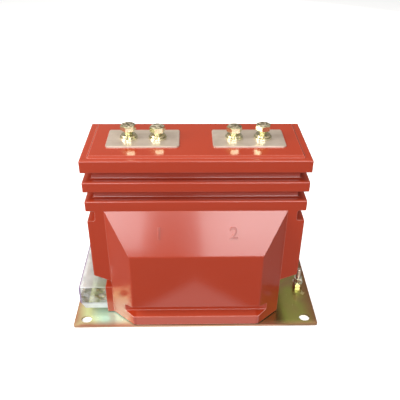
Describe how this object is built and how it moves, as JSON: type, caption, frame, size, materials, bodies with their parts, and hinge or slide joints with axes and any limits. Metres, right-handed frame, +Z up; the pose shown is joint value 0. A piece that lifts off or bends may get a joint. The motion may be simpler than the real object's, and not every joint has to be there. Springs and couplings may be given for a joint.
{
  "type": "indoor current transformer",
  "caption": "Cast resin indoor current transformer on a steel base plate, with bolted primary terminals on top and a clear secondary terminal cover.",
  "frame": {"origin": "middle of the base plate's underside", "axes": "+X along the plate from the secondary terminal cover to the earthing stud, +Y from the front to the back, +Z up"},
  "size_m": [0.372, 0.18, 0.294],
  "materials": {
    "resin": "glossy brick-red cast epoxy resin",
    "plate": "yellow zinc plated, iridescent",
    "tinned": "tinned copper",
    "bolt": "yellow zinc plated",
    "screw": "bright steel",
    "copper": "copper",
    "core": "wound electrical steel",
    "stud": "bright brass",
    "cover": "clear plastic"
  },
  "bodies": {
    "root": {"resin_body": "resin", "base_plate": "plate", "terminal_left": "tinned", "terminal_right": "tinned", "terminal_bolts": "bolt", "terminal_spring_washers": "bolt", "terminal_flat_washers": "bolt", "primary_conductor": "copper", "core_1": "core", "core_2": "core", "core_3": "core", "core_4": "core", "winding_1": "copper", "winding_2": "copper", "winding_3": "copper", "winding_4": "copper", "secondary_leads": "copper", "secondary_studs": "stud", "secondary_lock_nuts": "stud", "secondary_inner_washers": "stud", "secondary_outer_washers": "stud", "secondary_nuts": "stud", "terminal_cover": "cover", "cover_screws": "screw", "cover_inserts": "stud", "base_inserts": "stud", "base_screws": "bolt", "earth_stud": "screw", "earth_lower_nut": "bolt", "earth_washer": "bolt", "earth_spring_washer": "bolt", "earth_upper_nut": "bolt"}
  },
  "joints": []
}
